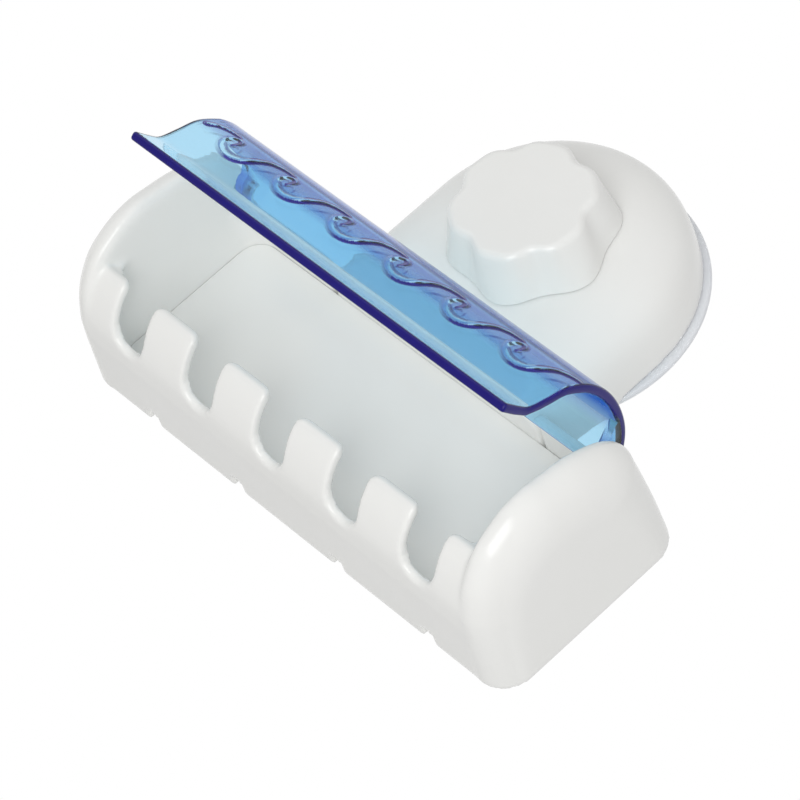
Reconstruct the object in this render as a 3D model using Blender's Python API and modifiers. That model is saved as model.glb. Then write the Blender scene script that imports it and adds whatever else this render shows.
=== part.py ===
# Wall-mounted toothbrush holder: a suction pad pulled tight by a six-lobed
# screw knob, a domed housing with a back panel, a white slotted tray below
# it, and a clear blue lid that swings on two pins over the tray.
#
# Frame: metres, +Z up, +X to the right seen from the front, +Y into the wall.
# The origin is the centre of the suction pad's face, on the wall.

from math import cos, pi, radians, sin

import bmesh
import bpy
from mathutils import Matrix, Vector

# Driving dimensions, in metres

fitGap = 0.0003           # between pieces that touch
mergeDistance = 0.00001   # vertices closer than this become one
pastFace = 0.0100         # how far a cutter runs on beyond the face it opens
faceStep = 0.00002        # keeps two faces from lying in one plane

# End caps and walls of the tray
roomHalfLength = 0.0660   # inner faces of the end caps
capWidth = 0.0105         # each end cap, along the tray
capDepth = 0.0468         # wall to the front of the caps' bulge
capTop = -0.0304
capHeight = 0.0578
capFillet = 0.0086        # end face into the cap's outline
capFrontRound = 0.0150    # the same rounding, measured across, at the front
capInnerRoll = 0.0018     # cap's outline into its inner face
capSkin = 0.0024
rearPlane = 0.0005        # the tray's rear rim stands this far off the wall
hullReach = 0.0010        # the tray's middle runs this far into each cap
roomFillet = 0.0063       # end walls into the floor, the fence and the top wall

# Top wall, floor and fence of the tray, as depth from the wall and height
topWallFront = 0.0200
topWallTop = -0.0335
roomTop = -0.0365
floorUnder = -0.0882      # underside at the wall
floorRise = 0.0008        # the floor rises by this from the wall to its bend
floorBend = 0.0200
floorSkin = 0.0024
fenceDepth = 0.0383
fenceTop = -0.0752
fenceSkin = 0.0029
frontOpen = 0.0600        # the room is open this far ahead of the wall

# Slots between the prongs of the fence
slotPitch = 0.0260
slotCount = 5
slotHalfWidth = 0.0054
slotFootDepth = 0.0250    # rear of the slot's round foot
prongCornerRadius = 0.0035
prongCornerShare = 0.98   # of the radius, from its centre to the prong's faces

# Notches in the rear rim and the hooks that snap into them
notchPlaces = (0.0181, 0.0501)
notchWidth = 0.0034
notchDepth = 0.0042
hookDrop = 0.0015         # short, so that the notches stay open to the light

# Lid
lidSideGap = 0.00116      # between the lid's ends and the end caps
lidWall = 0.0023
lidRear = 0.0223          # depth of the lid's rear end
lidReach = 0.0487         # rear end to the tip of the lip
lidCrown = -0.0295
lidDrop = 0.0275          # crown to the tip of the lip
pivotDepth = 0.0280
pivotHeight = -0.0363
earThickness = 0.00244
earFrontReach = 0.0100
earToeReach = 0.0044
earToeDrop = 0.0007
earBossRadius = 0.0026
pinRadius = 0.0015
pinShort = 0.0002         # the pin ends this far inside the cap's skin
pinClearance = 0.00015    # round the pin, in its hole

# Housing and back panel
housingRadius = 0.0373
housingFront = 0.0233
housingRear = 0.0010
housingWall = 0.0025
housingFoot = -0.0364
neckGap = 0.00035         # between the neck and the ends of the tray's top wall
neckReliefWidth = 0.0500
panelFront = 0.0100
panelSkin = 0.0024
panelRear = 0.0008
panelWall = 0.0022
bridgeDrop = 0.0015
bridgeRear = 0.0030
pressRingSink = 0.0001    # the ring's inner side lies this deep in the wall
pressRingWall = 0.0014
pressRingRear = 0.0014
pressRingFront = 0.0090
hubRadius = 0.0085
hubRear = 0.0120
studBoreRadius = 0.0044
padClearRadius = 0.0393

# Suction pad, stud, nut and washer
padRadius = 0.0389
padRim = 0.0016
padShoulderRadius = 0.0172
padBossFront = 0.0092
padPocketRadius = 0.0144
padPocketFloor = 0.0035
studRadius = 0.0040
studPlateRadius = 0.0140
studPlateRear = 0.0039
studPlateThickness = 0.0025
studTip = 0.0310
studChamfer = 0.0008
washerInner = 0.0063
washerOuter = 0.0110
washerThickness = 0.0010
nutAcrossFlats = 0.0130
nutLength = 0.0080
nutBoreRadius = 0.0044

# Knob
knobFront = 0.03765
knobFaceRadius = 0.01744
knobFaceLobe = 0.00088
knobFaceDent = 0.00035
knobBaseRadius = 0.0202
knobBaseLobe = 0.00125
knobLobes = 6
knobTurn = radians(-6.6)  # a lobe's middle, from +X towards +Z
knobEdge = 0.0017
knobWall = 0.0024
knobFaceSkin = 0.0026
knobBossRadius = 0.0100
knobBoreTop = 0.0348

# How finely the round shapes are divided
outlineSteps = 3
turnSteps = 56
knobSteps = 72
archSteps = 36
arcSteps = 8
roundSteps = 5
sharpAngle = radians(32)  # edges bent more than this are shaded sharp
flatAngle = radians(0.2)  # faces bent less than this are one flat face

# Outlines, as shares of the sizes above, chosen by hand

# End cap, from its top at the wall round the front to the floor at the wall:
# share of capDepth, share of capHeight
capOutlineShares = (
    (0.000, 0.000), (0.300, 0.017), (0.605, 0.047), (0.716, 0.062),
    (0.801, 0.104), (0.876, 0.175), (0.955, 0.313), (0.989, 0.464),
    (1.000, 0.545), (0.983, 0.651), (0.938, 0.746), (0.887, 0.817),
    (0.812, 0.875), (0.705, 0.931), (0.577, 0.967), (0.427, 0.986),
    (0.000, 1.000))

# Fence, from the floor's bend up to its rounded top: share of the way from
# floorBend to fenceDepth, share of the way from that side of the floor up to
# fenceTop
fenceOuterShares = (
    (0.000, 0.000), (0.366, 0.090), (0.656, 0.287), (0.874, 0.533),
    (1.000, 0.787), (0.990, 0.920), (0.930, 0.985))
fenceInnerShares = ((0.328, 0.112), (0.585, 0.337), (0.776, 0.612), (0.855, 0.857))

# Lid, from its rear end over the crown and down the front to the lip:
# share of lidReach, share of lidDrop
lidOutlineShares = (
    (0.000, 0.313), (0.026, 0.211), (0.071, 0.1255), (0.129, 0.064),
    (0.201, 0.020), (0.281, 0.000), (0.376, 0.0055), (0.465, 0.0335),
    (0.549, 0.085), (0.623, 0.156), (0.684, 0.240), (0.769, 0.418),
    (0.809, 0.607), (0.850, 0.793), (0.896, 0.871), (1.000, 1.000))

# Housing's dome, from its rear rim to the flat front: share of
# housingRadius, share of the way from the pad's rim to housingFront
domeShares = (
    (0.992, 0.285), (0.979, 0.472), (0.957, 0.612),
    (0.917, 0.738), (0.855, 0.841), (0.776, 0.921), (0.685, 0.972),
    (0.596, 0.995), (0.536, 1.000))

# Neck's front, from where it leaves the flat front down to the ledge: share
# of housingFront, share of housingFoot
neckShares = ((1.020, 0.380), (0.966, 0.687), (0.923, 0.797), (0.858, 0.912))

# Places worked out from the sizes

trayHalfLength = roomHalfLength + capWidth
lidHalfLength = roomHalfLength - lidSideGap
pinLength = lidSideGap + capSkin - pinShort
pinHoleRadius = pinRadius + pinClearance
pocketLength = capWidth - 2 * capSkin
roomFloor = floorUnder + floorSkin
rimDepth = padRim + fitGap
knobRear = housingFront + fitGap
washerRear = housingFront + fitGap
bossRear = washerRear + washerThickness + fitGap
nutRear = bossRear + fitGap
pressRingRadius = housingRadius - housingWall + pressRingSink
nutPocketTop = nutRear + nutLength + fitGap

# Directions in which flat outlines are extruded: outline x, outline y, way

alongX = Matrix(((0, 0, 1), (1, 0, 0), (0, 1, 0))).to_4x4()
towardsFront = Matrix(((1, 0, 0), (0, 0, -1), (0, 1, 0))).to_4x4()
downwards = Matrix(((1, 0, 0), (0, -1, 0), (0, 0, -1))).to_4x4()


# Scene and collections

def clearScene():
    for item in list(bpy.data.objects):
        bpy.data.objects.remove(item, do_unlink=True)


def newCollection(name):
    collection = bpy.data.collections.new(name)
    bpy.context.scene.collection.children.link(collection)
    return collection


clearScene()
partCollection = newCollection("toothbrush_holder")
cutterCollection = newCollection("cutters")


# Materials

def plainMaterial(name, colour, roughness, metallic=0.0, alpha=1.0, transmission=0.0):
    material = bpy.data.materials.new(name)
    material.use_nodes = True
    shader = material.node_tree.nodes["Principled BSDF"]
    shader.inputs["Base Color"].default_value = (*colour, 1.0)
    shader.inputs["Roughness"].default_value = roughness
    shader.inputs["Metallic"].default_value = metallic
    shader.inputs["Alpha"].default_value = alpha
    shader.inputs["Transmission Weight"].default_value = transmission
    material.diffuse_color = (*colour, alpha)
    return material


whiteAbs = plainMaterial("white_abs", (0.80, 0.80, 0.78), 0.25)
bluePolystyrene = plainMaterial("blue_polystyrene", (0.22, 0.52, 0.86), 0.08, 0.0, 0.45, 0.6)
clearPvc = plainMaterial("clear_pvc", (0.68, 0.76, 0.84), 0.30, 0.0, 0.75, 0.3)
turnedBrass = plainMaterial("turned_brass", (0.72, 0.54, 0.24), 0.32, 1.0)
platedSteel = plainMaterial("plated_steel", (0.62, 0.62, 0.64), 0.30, 1.0)
whiteNylon = plainMaterial("white_nylon", (0.74, 0.74, 0.72), 0.50)


# Outlines

def smoothLine(points, steps):
    """Points on a smooth curve through the given ones."""
    line = []
    last = len(points) - 1
    for index in range(last):
        before = Vector(points[max(index - 1, 0)])
        start = Vector(points[index])
        end = Vector(points[index + 1])
        after = Vector(points[min(index + 2, last)])
        for step in range(steps):
            t = step / steps
            bend = (end - before) * t + (2 * before - 5 * start + 4 * end - after) * t * t
            twist = (3 * start - before - 3 * end + after) * t ** 3
            line.append(tuple(start + (bend + twist) / 2))
    line.append(tuple(points[last]))
    return line


def insetLine(line, distances):
    """The line moved to its left by the distance of each point."""
    moved = []
    for index, (point, distance) in enumerate(zip(line, distances)):
        before = Vector(line[max(index - 1, 0)])
        after = Vector(line[min(index + 1, len(line) - 1)])
        along = (after - before).normalized()
        moved.append((point[0] - along.y * distance, point[1] + along.x * distance))
    return moved


def arc(centre, radius, start, end, steps):
    """Points on a circle from one angle to another."""
    angles = [start + (end - start) * step / steps for step in range(steps + 1)]
    return [(centre[0] + radius * cos(a), centre[1] + radius * sin(a)) for a in angles]


def box(left, right, low, high):
    return [(left, low), (right, low), (right, high), (left, high)]


def roundedBox(left, right, low, high, radius):
    corners = (
        (right - radius, high - radius, 0), (left + radius, high - radius, 1),
        (left + radius, low + radius, 2), (right - radius, low + radius, 3))
    outline = []
    for x, z, quarter in corners:
        outline += arc((x, z), radius, quarter * pi / 2, (quarter + 1) * pi / 2, arcSteps)
    return outline


# Solids

def addObject(name, mesh, collection=cutterCollection):
    """An object holding the mesh, smooth but for its sharp edges."""
    mesh.shade_smooth()
    mesh.set_sharp_from_angle(angle=sharpAngle)
    item = bpy.data.objects.new(name, mesh)
    collection.objects.link(item)
    if collection == cutterCollection:
        item.hide_render = True
        item.display_type = "WIRE"
    return item


def tidyMesh(mesh, flatten=True):
    """Doubles merged, flat stretches made one face, faces turned outwards."""
    work = bmesh.new()
    work.from_mesh(mesh)
    bmesh.ops.remove_doubles(work, verts=work.verts, dist=mergeDistance)
    if flatten:
        bmesh.ops.dissolve_limit(work, angle_limit=flatAngle, verts=work.verts,
                                 edges=work.edges)
    bmesh.ops.recalc_face_normals(work, faces=work.faces)
    work.to_mesh(mesh)
    work.free()


def bakedMesh(item):
    """The item's evaluated mesh in world space; the item is removed."""
    cutterCollection.objects.link(item)
    graph = bpy.context.evaluated_depsgraph_get()
    mesh = bpy.data.meshes.new_from_object(item.evaluated_get(graph))
    mesh.transform(item.matrix_world)
    bpy.data.objects.remove(item, do_unlink=True)
    tidyMesh(mesh)
    return mesh


def prism(name, outline, start, end, way, collection=cutterCollection):
    """A flat outline run from start to end along the way."""
    curve = bpy.data.curves.new(name, "CURVE")
    curve.dimensions = "2D"
    curve.fill_mode = "BOTH"
    curve.extrude = abs(end - start) / 2
    spline = curve.splines.new("POLY")
    spline.points.add(len(outline) - 1)
    for point, (x, y) in zip(spline.points, outline):
        point.co = (x, y, 0, 1)
    spline.use_cyclic_u = True
    item = bpy.data.objects.new(name, curve)
    item.matrix_world = way @ Matrix.Translation((0, 0, (start + end) / 2))
    return addObject(name, bakedMesh(item), collection)


def turned(name, profile, steps=turnSteps, collection=cutterCollection):
    """A profile of (radius, depth), open at the knob's axis, turned about it."""
    mesh = bpy.data.meshes.new(name)
    edges = [(i, i + 1) for i in range(len(profile) - 1)]
    if profile[0][0] > 0:
        edges.append((len(profile) - 1, 0))
    mesh.from_pydata([(radius, 0, depth) for radius, depth in profile], edges, [])
    item = bpy.data.objects.new(name, mesh)
    screw = item.modifiers.new("turn", "SCREW")
    screw.steps = steps
    screw.render_steps = steps
    screw.use_merge_vertices = True
    screw.merge_threshold = mergeDistance
    item.matrix_world = towardsFront
    return addObject(name, bakedMesh(item), collection)


def loft(name, rings, collection=cutterCollection):
    """A closed skin over rings of (x, z, depth), each with as many points."""
    work = bmesh.new()
    rows = [[work.verts.new((x, -depth, z)) for x, z, depth in ring] for ring in rings]
    for lower, upper in zip(rows, rows[1:]):
        for index in range(len(lower)):
            following = (index + 1) % len(lower)
            work.faces.new((lower[index], lower[following], upper[following], upper[index]))
    work.faces.new(rows[0])
    work.faces.new(rows[-1])
    mesh = bpy.data.meshes.new(name)
    work.to_mesh(mesh)
    work.free()
    tidyMesh(mesh, False)
    return addObject(name, mesh, collection)


def pinAlongX(name, radius, start, end, steps, depth, height):
    return prism(name, arc((-depth, height), radius, 0, 2 * pi, steps)[:-1], start, end, alongX)


def combine(target, tool, operation="DIFFERENCE"):
    """The tool cut from the target, or joined to it."""
    modifier = target.modifiers.new(operation.lower() + " " + tool.name, "BOOLEAN")
    modifier.operation = operation
    modifier.solver = "EXACT"
    modifier.object = tool


def mirror(item):
    """The item repeated on the other side of x = 0."""
    modifier = item.modifiers.new("mirror", "MIRROR")
    modifier.use_mirror_merge = False
    modifier.merge_threshold = mergeDistance


def roundEnds(item, radius):
    """Bevels the edges round both ends of an item that runs along x."""
    mesh = item.data
    weights = mesh.attributes.new("bevel_weight_edge", "FLOAT", "EDGE")
    for edge in mesh.edges:
        first, second = (mesh.vertices[v].co.x for v in edge.vertices)
        if abs(first - second) < mergeDistance:
            weights.data[edge.index].value = 1.0
    bevel = item.modifiers.new("rounding", "BEVEL")
    bevel.limit_method = "WEIGHT"
    bevel.width = radius
    bevel.segments = roundSteps
    bevel.use_clamp_overlap = False


def finish(item, material):
    item.data.materials.clear()
    item.data.materials.append(material)


# Tray

def capRing(place, skin, inset, rear):
    """Ring at one x of the cap, or of the pocket inside its skin, run back
    past the wall plane; the inset grows towards the front."""
    points = [(-d * capDepth, capTop - h * capHeight) for d, h in capOutlineShares]
    line = smoothLine(points, outlineSteps)
    growth = (capFrontRound - skin) / (capFillet - skin) - 1
    line = insetLine(line, [skin + inset * (1 - y / capDepth * growth) for y, z in line])
    ends = [(rear, line[0][1])] + line + [(rear, line[-1][1])]
    return [(place, z, -y) for y, z in ends]


def roundedRings(place, skin, run, across, way, rear):
    """Rings of a rounding that ends at a flat face, from the rim inwards."""
    turns = [step / roundSteps * pi / 2 for step in range(roundSteps + 1)]
    return [capRing(place - way * run * (1 - sin(turn)), skin, across * (1 - cos(turn)), rear)
            for turn in turns]


def makeCap():
    inner = roundedRings(roomHalfLength, 0.0, capInnerRoll, capInnerRoll, -1, pastFace)
    outer = roundedRings(trayHalfLength, 0.0, capFillet, capFillet, 1, pastFace)
    return loft("tray_cap", inner[::-1] + outer)


def makePocket():
    rings = roundedRings(trayHalfLength - capSkin, capSkin, pocketLength, capFillet - capSkin, 1,
                         2 * pastFace)
    return loft("cap_pocket", rings)


def fenceLine(shares, floor):
    """Points of the fence, above the underside or above the room's floor."""
    low = floor + floorRise
    return [(-floorBend - a * (fenceDepth - floorBend), low + b * (fenceTop - low))
            for a, b in shares]


def hullOutline():
    """Section of the tray's middle, filled from its top wall to its fence."""
    rear = [(pastFace, topWallTop), (-topWallFront, topWallTop)]
    fence = smoothLine(fenceLine(fenceOuterShares, floorUnder), outlineSteps)
    return rear + fence[::-1] + [(pastFace, floorUnder)]


def roomOutline():
    """Section of the space inside, open to the rear and the front."""
    inner = smoothLine(fenceLine(fenceInnerShares, roomFloor), outlineSteps)
    return ([(2 * pastFace, roomTop), (-frontOpen, roomTop), (-frontOpen, fenceTop),
             (-fenceDepth + fenceSkin / 2, fenceTop)] + inner[::-1]
            + [(-floorBend, roomFloor + floorRise), (2 * pastFace, roomFloor)])


def slotOutline(middle):
    """A slot seen from above: round foot, open to the front."""
    foot = arc((middle, slotFootDepth + slotHalfWidth), slotHalfWidth, -pi, 0, 2 * arcSteps)
    return foot + [(middle + slotHalfWidth, frontOpen), (middle - slotHalfWidth, frontOpen)]


def mouthOutline(middle):
    """A slot's mouth seen from the front, with the prongs' corners rounded."""
    inwards = prongCornerShare * prongCornerRadius
    centre = (middle + slotHalfWidth + inwards, fenceTop - inwards)
    right = arc(centre, prongCornerRadius, pi, pi / 2, arcSteps)
    right.append((centre[0], fenceTop + prongCornerRadius))
    return right + [(2 * middle - x, z) for x, z in right[::-1]]


def makeTray():
    cap = makeCap()
    mirror(cap)
    pocket = makePocket()
    mirror(pocket)
    roomEnd = roomHalfLength + faceStep
    room = prism("tray_room", roomOutline(), -roomEnd, roomEnd, alongX)
    roundEnds(room, roomFillet)
    hullEnd = roomHalfLength + hullReach
    tray = prism("tray_shell", hullOutline(), -hullEnd, hullEnd, alongX, partCollection)
    combine(tray, cap, "UNION")
    combine(tray, room)
    combine(tray, pocket)
    neckHalf = housingRadius + neckGap
    neckWay = box(-neckHalf, neckHalf, roomTop - roomFillet, capTop)
    combine(tray, prism("neck_way", neckWay, -pastFace, frontOpen, towardsFront))
    for index in range(slotCount):
        middle = (index - (slotCount - 1) / 2) * slotPitch
        name = "slot_" + str(index + 1)
        combine(tray, prism(name, slotOutline(middle), -fenceTop - pastFace,
                            -floorUnder + pastFace, downwards))
        combine(tray, prism(name + "_mouth", mouthOutline(middle), slotFootDepth, frontOpen,
                            towardsFront))
    for place in notchPlaces:
        half = notchWidth / 2
        notch = box(place - half, place + half, floorUnder - pastFace, roomFloor + pastFace / 2)
        cutter = prism("rim_notch", notch, -pastFace, rearPlane + notchDepth, towardsFront)
        mirror(cutter)
        combine(tray, cutter)
    hole = pinAlongX("pin_hole", pinHoleRadius, roomHalfLength - capSkin,
                     roomHalfLength + 1.5 * capSkin, 3 * arcSteps, pivotDepth, pivotHeight)
    mirror(hole)
    combine(tray, hole)
    behind = box(-2 * trayHalfLength, 2 * trayHalfLength, 2 * floorUnder, -floorUnder)
    combine(tray, prism("behind_tray", behind, -4 * pastFace, rearPlane, towardsFront))
    finish(tray, whiteAbs)


# Lid

def lidLine(inset=0.0):
    """The lid's outer line from its rear end to the lip, or one inside it."""
    points = [(-lidRear - a * lidReach, lidCrown - b * lidDrop) for a, b in lidOutlineShares]
    line = smoothLine(points, outlineSteps)
    return insetLine(line, [inset] * len(line))


def earOutline():
    """Web below the lid's crown, round the pivot."""
    front = -pivotDepth - earFrontReach
    edge = [point for point in lidLine(lidWall / 2) if point[0] >= front]
    toe = (-pivotDepth - earToeReach, pivotHeight - earToeDrop)
    boss = arc((-pivotDepth, pivotHeight), earBossRadius, -0.72 * pi, 0, arcSteps)
    return edge + [toe] + boss


def makeLid():
    section = lidLine() + lidLine(lidWall)[::-1]
    lid = prism("lid", section, -lidHalfLength, lidHalfLength, alongX, partCollection)
    ear = prism("lid_ear", earOutline(), lidHalfLength - earThickness, lidHalfLength, alongX)
    pin = pinAlongX("lid_pin", pinRadius, lidHalfLength - earThickness / 2,
                    lidHalfLength + pinLength, 2 * arcSteps, pivotDepth, pivotHeight)
    for item in (ear, pin):
        mirror(item)
        combine(lid, item, "UNION")
    pivot = Vector((0, -pivotDepth, pivotHeight))
    lid.data.transform(Matrix.Translation(-pivot))
    lid.location = pivot
    finish(lid, bluePolystyrene)


# Housing and back panel

def archRing(radius, foot, depth):
    """A half circle over two straight sides, at one depth."""
    top = arc((0, 0), radius, 0, pi, archSteps)
    return [(x, z, depth) for x, z in top + [(-radius, foot), (radius, foot)]]


def domeRings(wall, foot, rear):
    """Rings of the housing, or of the hollow inside its wall."""
    span = housingFront - rimDepth
    rings = [archRing(a * housingRadius - wall, foot, rimDepth + b * span - wall)
             for a, b in domeShares]
    return [archRing(housingRadius - wall, foot, rear)] + rings


def neckRelief(name, wall):
    """What is cut from the neck's front, moved back by the wall."""
    front = [(wall - a * housingFront, b * housingFoot + wall) for a, b in neckShares]
    front += [(wall - topWallFront, topWallTop + wall), (wall - topWallFront, 2 * housingFoot)]
    front += [(-frontOpen, 2 * housingFoot), (-frontOpen, front[0][1])]
    return prism(name, front, -neckReliefWidth, neckReliefWidth, alongX)


def makeHousing():
    housing = loft("back_housing", domeRings(0.0, housingFoot, housingRear), partCollection)
    combine(housing, neckRelief("neck_relief", 0.0))
    hollow = loft("housing_hollow", domeRings(housingWall, housingFoot + housingWall, -pastFace))
    combine(hollow, neckRelief("hollow_relief", housingWall))
    combine(housing, hollow)

    panelHalf = roomHalfLength - fitGap
    panelTop = roomTop - fitGap
    panelFoot = roomFloor + floorRise / 2 + fitGap
    cornerRadius = roomFillet - fitGap
    panel = prism("back_panel", roundedBox(-panelHalf, panelHalf, panelFoot, panelTop, cornerRadius),
                  panelRear, panelFront, towardsFront)
    behindPanel = roundedBox(-panelHalf + panelWall, panelHalf - panelWall, panelFoot + panelWall,
                             panelTop - panelWall, cornerRadius - panelWall)
    combine(panel, prism("behind_panel", behindPanel, -pastFace, panelFront - panelSkin,
                         towardsFront))
    combine(housing, panel, "UNION")
    bridgeHalf = housingRadius - housingWall / 2
    bridge = box(-bridgeHalf, bridgeHalf, housingFoot - bridgeDrop, housingFoot + housingWall / 2)
    combine(housing, prism("neck_bridge", bridge, bridgeRear, panelFront - panelSkin / 2,
                           towardsFront), "UNION")
    for place in notchPlaces:
        half = notchWidth / 2 - fitGap
        hook = box(place - half, place + half, panelFoot - hookDrop, panelFoot + panelWall / 2)
        tab = prism("snap_hook", hook, panelRear + faceStep, rearPlane + notchDepth - fitGap,
                    towardsFront)
        mirror(tab)
        combine(housing, tab, "UNION")

    ringOuter = pressRingRadius + pressRingWall
    combine(housing, turned("press_ring", box(pressRingRadius, ringOuter, pressRingRear,
                                              pressRingFront)), "UNION")
    combine(housing, turned("stud_hub", box(0.0, hubRadius, hubRear,
                                            housingFront - housingWall / 2)), "UNION")
    combine(housing, turned("stud_bore", box(0.0, studBoreRadius, -pastFace,
                                             housingFront + pastFace)))
    combine(housing, turned("pad_way", box(0.0, padClearRadius, -pastFace, rimDepth)))
    finish(housing, whiteAbs)


# Knob, nut and washer

def knobRing(depth, inset):
    """A six-lobed ring of the knob at one depth."""
    share = (depth - knobRear) / (knobFront - knobRear)
    ring = []
    for step in range(knobSteps):
        angle = 2 * pi * step / knobSteps
        lobe = knobLobes * (angle - knobTurn)
        base = knobBaseRadius + knobBaseLobe * cos(lobe)
        face = knobFaceRadius + knobFaceLobe * cos(lobe) - knobFaceDent * cos(2 * lobe)
        radius = base + (face - base) * share - inset
        ring.append((radius * cos(angle), radius * sin(angle), depth))
    return ring


def makeKnob():
    rings = [knobRing(knobRear, 0.0)]
    edgeFoot = knobFront - knobEdge
    for step in range(5):
        turn = step / 4 * pi / 2
        rings.append(knobRing(edgeFoot + knobEdge * sin(turn), knobEdge * (1 - cos(turn))))
    knob = loft("knob", rings, partCollection)
    hollowRings = [knobRing(knobRear - pastFace, knobWall), knobRing(knobFront - knobFaceSkin, knobWall)]
    combine(knob, loft("knob_hollow", hollowRings))
    boss = turned("knob_boss", box(0.0, knobBossRadius, bossRear, knobFront - knobFaceSkin / 2))
    combine(knob, boss, "UNION")
    combine(knob, hexagon("nut_pocket", nutAcrossFlats + 2 * fitGap, bossRear - pastFace,
                          nutPocketTop))
    combine(knob, turned("knob_bore", box(0.0, studBoreRadius, bossRear - pastFace, knobBoreTop),
                         4 * arcSteps))
    finish(knob, whiteAbs)


def hexagon(name, acrossFlats, start, end, collection=cutterCollection):
    corner = acrossFlats / 2 / cos(pi / 6)
    outline = arc((0, 0), corner, 0, 2 * pi, 6)[:-1]
    return prism(name, outline, start, end, towardsFront, collection)


def makeNut():
    nut = hexagon("knob_nut", nutAcrossFlats, nutRear, nutRear + nutLength, partCollection)
    combine(nut, turned("nut_bore", box(0.0, nutBoreRadius, nutRear - pastFace, knobFront),
                        4 * arcSteps))
    finish(nut, turnedBrass)


def makeWasher():
    ring = box(washerInner, washerOuter, washerRear, washerRear + washerThickness)
    finish(turned("thrust_washer", ring, 6 * arcSteps, partCollection), whiteNylon)


# Stud and suction pad

def makeStud():
    plateFront = studPlateRear + studPlateThickness
    profile = [(0.0, studPlateRear), (studPlateRadius, studPlateRear), (studPlateRadius, plateFront),
               (studRadius, plateFront), (studRadius, studTip - studChamfer),
               (studRadius - studChamfer, studTip), (0.0, studTip)]
    finish(turned("threaded_stud", profile, 4 * arcSteps, partCollection), platedSteel)


def makePad():
    profile = [(0.0, 0.0), (padRadius, 0.0), (padRadius, padRim / 2),
               (padRadius - padRim / 2, padRim), (padShoulderRadius + padBossFront / 2, padRim)]
    profile += arc((padShoulderRadius + padBossFront / 2, padRim + padBossFront / 2),
                   padBossFront / 2, -pi / 2, -pi, arcSteps)[1:]
    profile += [(padShoulderRadius, padBossFront), (padPocketRadius, padBossFront),
                (padPocketRadius, padPocketFloor), (0.0, padPocketFloor)]
    finish(turned("suction_pad", profile, turnSteps, partCollection), clearPvc)


makeTray()
makeLid()
makeHousing()
makeKnob()
makeNut()
makeWasher()
makeStud()
makePad()
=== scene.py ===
from math import cos, hypot, pi, radians, sin

import bmesh
import bpy
from mathutils import Matrix, Vector


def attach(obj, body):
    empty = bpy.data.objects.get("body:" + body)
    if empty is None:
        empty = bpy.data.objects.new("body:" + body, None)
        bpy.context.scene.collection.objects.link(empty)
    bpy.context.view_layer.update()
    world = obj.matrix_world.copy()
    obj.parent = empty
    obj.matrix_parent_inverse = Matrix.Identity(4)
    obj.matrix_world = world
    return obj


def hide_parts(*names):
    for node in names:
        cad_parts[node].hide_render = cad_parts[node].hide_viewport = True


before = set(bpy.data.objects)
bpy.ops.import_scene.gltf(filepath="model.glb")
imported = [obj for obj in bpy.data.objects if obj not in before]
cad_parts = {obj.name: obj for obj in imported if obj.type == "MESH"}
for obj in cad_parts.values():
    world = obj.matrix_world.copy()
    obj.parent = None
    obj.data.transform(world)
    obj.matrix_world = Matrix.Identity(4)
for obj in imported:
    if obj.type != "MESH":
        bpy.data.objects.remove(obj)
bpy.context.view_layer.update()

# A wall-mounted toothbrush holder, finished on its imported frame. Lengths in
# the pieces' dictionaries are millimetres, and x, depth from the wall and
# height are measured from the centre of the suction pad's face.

mm = 0.001
past = 10.0                  # how far a cutter runs on beyond the face it opens
overlap = 1.0                # how far a solid runs into the one it joins
fitGap = 0.3                 # between pieces that touch
faceStep = 0.02              # keeps two faces from lying in one plane
weld = 0.0005                # points nearer than this are one
print("frame loaded")


# Outlines

def smoothLine(points, steps):
    # points on a smooth curve through the given ones
    line = []
    last = len(points) - 1
    for index in range(last):
        before, start = Vector(points[max(index - 1, 0)]), Vector(points[index])
        end, after = Vector(points[index + 1]), Vector(points[min(index + 2, last)])
        for step in range(steps):
            t = step / steps
            point = (2 * start + (end - before) * t
                     + (2 * before - 5 * start + 4 * end - after) * t ** 2
                     + (3 * start - before - 3 * end + after) * t ** 3) / 2
            line.append(tuple(point))
    return line + [tuple(points[last])]


def quarterTurns(steps):
    return [step / steps * pi / 2 for step in range(steps + 1)]


def arc(centre, radius, start, end, steps):
    turns = [start + (end - start) * step / steps for step in range(steps + 1)]
    return [(centre[0] + radius * cos(turn), centre[1] + radius * sin(turn)) for turn in turns]


def box(left, right, low, high):
    return [(left, low), (right, low), (right, high), (left, high)]


def roundedBox(left, right, low, high, radius, steps=8):
    corners = [(right - radius, high - radius), (left + radius, high - radius),
               (left + radius, low + radius), (right - radius, low + radius)]
    outline = []
    for quarter, corner in enumerate(corners):
        outline += arc(corner, radius, quarter * pi / 2, (quarter + 1) * pi / 2, steps)
    return outline


def leftOf(line, distances, closed=False):
    # the line moved to its left, each point by its own distance
    moved = []
    count = len(line)
    for index, (point, distance) in enumerate(zip(line, distances)):
        here = Vector(point)
        before = Vector(line[index - 1 if closed else max(index - 1, 0)])
        after = Vector(line[(index + 1) % count if closed else min(index + 1, count - 1)])
        first, second = (here - before).normalized(), (after - here).normalized()
        if first.length == 0:
            first = second
        if second.length == 0:
            second = first
        sideways = Vector((-first.y - second.y, first.x + second.x)) / (1 + first.dot(second))
        moved.append(tuple(here + sideways * distance))
    return moved


# Ways to run a flat outline: across, up, how far along

def alongX(depth, height, far):
    return (far, -depth, height)


def frontwards(x, height, far):
    return (x, -far, height)


def downwards(x, depth, far):
    return (x, -depth, -far)


# Solids

def asMesh(work, name):
    mesh = bpy.data.meshes.new(name)
    work.to_mesh(mesh)
    work.free()
    return mesh


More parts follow.
